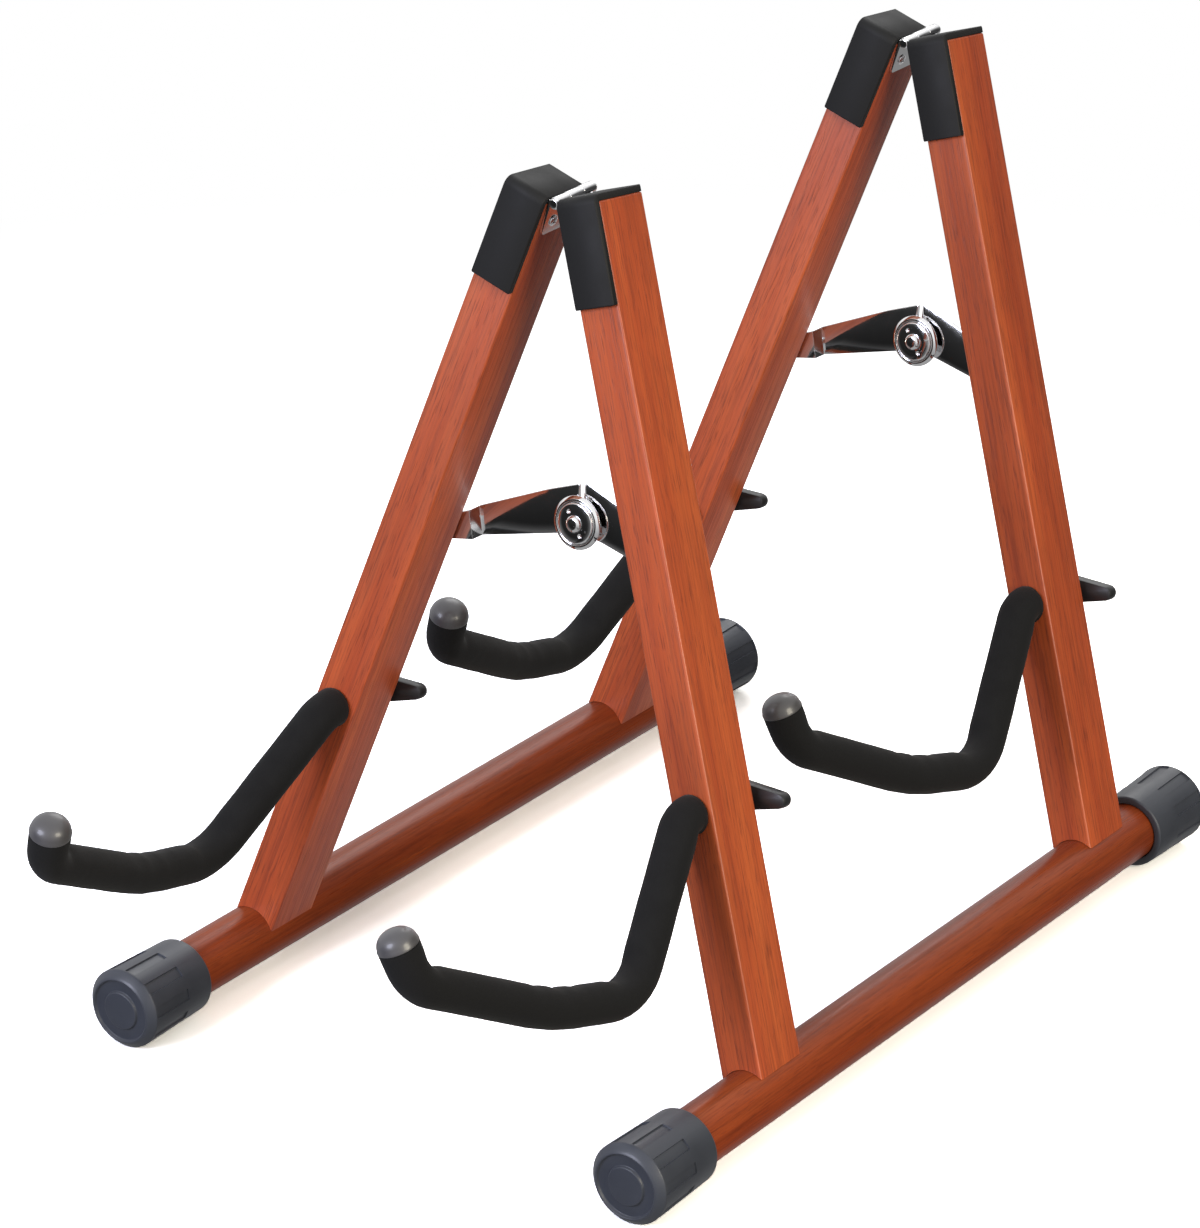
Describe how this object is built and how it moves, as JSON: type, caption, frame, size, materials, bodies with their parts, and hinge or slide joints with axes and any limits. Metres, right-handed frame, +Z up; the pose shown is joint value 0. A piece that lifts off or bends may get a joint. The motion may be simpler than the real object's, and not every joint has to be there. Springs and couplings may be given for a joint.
{
  "type": "guitar rack",
  "caption": "Folding wooden guitar rack: hinged side frames on round rails, folding stays, padded tops, and foam-covered swivel hooks held by wing nuts.",
  "frame": {"origin": "centre of the bounding box's base, on the floor", "axes": "+Z up; -Y is the front, where the hooks reach out; +X is to the right seen from the front"},
  "size_m": [0.3632, 0.6886, 0.4597],
  "materials": {
    "wood": "satin",
    "rubber": "matte",
    "foam": "matte",
    "pad": "matte",
    "chrome": "polished",
    "steel": "satin",
    "tip": "gloss",
    "knob": "satin"
  },
  "bodies": {
    "left_frame": {"rail_left": "wood", "end_cap_front_left": "rubber", "end_cap_rear_left": "rubber", "post_front_left": "wood", "rail_screw_front_left": "steel", "pad_front_left": "pad", "hinge_leaf_front_left": "chrome", "hinge_screw_front_left_1": "chrome", "hinge_screw_front_left_2": "chrome", "stay_screw_front_left": "chrome", "hinge_pin_front": "chrome", "post_rear_left": "wood", "rail_screw_rear_left": "steel", "pad_rear_left": "pad", "hinge_leaf_rear_left": "chrome", "hinge_screw_rear_left_1": "chrome", "hinge_screw_rear_left_2": "chrome", "stay_screw_rear_left": "chrome", "hinge_pin_rear": "chrome"},
    "right_frame": {"rail_right": "wood", "end_cap_front_right": "rubber", "end_cap_rear_right": "rubber", "post_front_right": "wood", "rail_screw_front_right": "steel", "pad_front_right": "pad", "hinge_leaf_front_right": "chrome", "hinge_screw_front_right_1": "chrome", "hinge_screw_front_right_2": "chrome", "stay_screw_front_right": "chrome", "post_rear_right": "wood", "rail_screw_rear_right": "steel", "pad_rear_right": "pad", "hinge_leaf_rear_right": "chrome", "hinge_screw_rear_right_1": "chrome", "hinge_screw_rear_right_2": "chrome", "stay_screw_rear_right": "chrome"},
    "hook_front_left": {"hook_rod_front_left": "steel", "hook_foam_front_left": "foam", "hook_tip_front_left": "tip"},
    "wing_nut_front_left": {"wing_nut_front_left": "knob"},
    "stay_front_left": {"stay_arm_front_left": "chrome", "stay_disc_front": "chrome"},
    "hook_rear_left": {"hook_rod_rear_left": "steel", "hook_foam_rear_left": "foam", "hook_tip_rear_left": "tip"},
    "wing_nut_rear_left": {"wing_nut_rear_left": "knob"},
    "stay_rear_left": {"stay_arm_rear_left": "chrome", "stay_disc_rear": "chrome"},
    "hook_front_right": {"hook_rod_front_right": "steel", "hook_foam_front_right": "foam", "hook_tip_front_right": "tip"},
    "wing_nut_front_right": {"wing_nut_front_right": "knob"},
    "stay_front_right": {"stay_arm_front_right": "chrome", "stay_rivet_front": "chrome"},
    "hook_rear_right": {"hook_rod_rear_right": "steel", "hook_foam_rear_right": "foam", "hook_tip_rear_right": "tip"},
    "wing_nut_rear_right": {"wing_nut_rear_right": "knob"},
    "stay_rear_right": {"stay_arm_rear_right": "chrome", "stay_rivet_rear": "chrome"}
  },
  "joints": [
    {"name": "fold", "type": "hinge", "parent": "left_frame", "child": "right_frame", "pos_m": [0, -0.0428, 0.449], "axis": [0, 1, 0], "range_deg": [0, 33]},
    {"name": "hook_swivel_front_left", "type": "hinge", "parent": "left_frame", "child": "hook_front_left", "pos_m": [-0.11334, -0.10023, 0.16146], "axis": [-0.0414, 0.9914, -0.1238], "range_deg": [-25, 25]},
    {"name": "nut_turn_front_left", "type": "hinge", "parent": "hook_front_left", "child": "wing_nut_front_left", "pos_m": [-0.1148, -0.06513, 0.15708], "axis": [-0.0414, 0.9914, -0.1238], "continuous": true},
    {"name": "stay_fold_front_left", "type": "hinge", "parent": "left_frame", "child": "stay_front_left", "pos_m": [-0.08256, -0.05175, 0.25345], "axis": [0.0414, -0.9914, 0.1238], "range_deg": [0, 44.11]},
    {"name": "hook_swivel_rear_left", "type": "hinge", "parent": "left_frame", "child": "hook_rear_left", "pos_m": [-0.11334, 0.22477, 0.16146], "axis": [-0.0414, 0.9914, -0.1238], "range_deg": [-25, 25]},
    {"name": "nut_turn_rear_left", "type": "hinge", "parent": "hook_rear_left", "child": "wing_nut_rear_left", "pos_m": [-0.1148, 0.25987, 0.15708], "axis": [-0.0414, 0.9914, -0.1238], "continuous": true},
    {"name": "stay_fold_rear_left", "type": "hinge", "parent": "left_frame", "child": "stay_rear_left", "pos_m": [-0.08256, 0.27325, 0.25345], "axis": [0.0414, -0.9914, 0.1238], "range_deg": [0, 44.11]},
    {"name": "hook_swivel_front_right", "type": "hinge", "parent": "right_frame", "child": "hook_front_right", "pos_m": [0.11334, -0.10023, 0.16146], "axis": [0.0414, 0.9914, -0.1238], "range_deg": [-25, 25]},
    {"name": "nut_turn_front_right", "type": "hinge", "parent": "hook_front_right", "child": "wing_nut_front_right", "pos_m": [0.1148, -0.06513, 0.15708], "axis": [0.0414, 0.9914, -0.1238], "continuous": true},
    {"name": "stay_fold_front_right", "type": "hinge", "parent": "right_frame", "child": "stay_front_right", "pos_m": [0.08256, -0.05175, 0.25345], "axis": [0.0414, 0.9914, -0.1238], "range_deg": [0, 44.11]},
    {"name": "hook_swivel_rear_right", "type": "hinge", "parent": "right_frame", "child": "hook_rear_right", "pos_m": [0.11334, 0.22477, 0.16146], "axis": [0.0414, 0.9914, -0.1238], "range_deg": [-25, 25]},
    {"name": "nut_turn_rear_right", "type": "hinge", "parent": "hook_rear_right", "child": "wing_nut_rear_right", "pos_m": [0.1148, 0.25987, 0.15708], "axis": [0.0414, 0.9914, -0.1238], "continuous": true},
    {"name": "stay_fold_rear_right", "type": "hinge", "parent": "right_frame", "child": "stay_rear_right", "pos_m": [0.08256, 0.27325, 0.25345], "axis": [0.0414, 0.9914, -0.1238], "range_deg": [0, 44.11]}
  ],
  "couplings": [
    {"joint": "stay_fold_front_left", "follows": "fold", "ratio": 1.3352},
    {"joint": "stay_fold_rear_left", "follows": "fold", "ratio": 1.3352},
    {"joint": "stay_fold_front_right", "follows": "fold", "ratio": 1.3352},
    {"joint": "stay_fold_rear_right", "follows": "fold", "ratio": 1.3352}
  ]
}
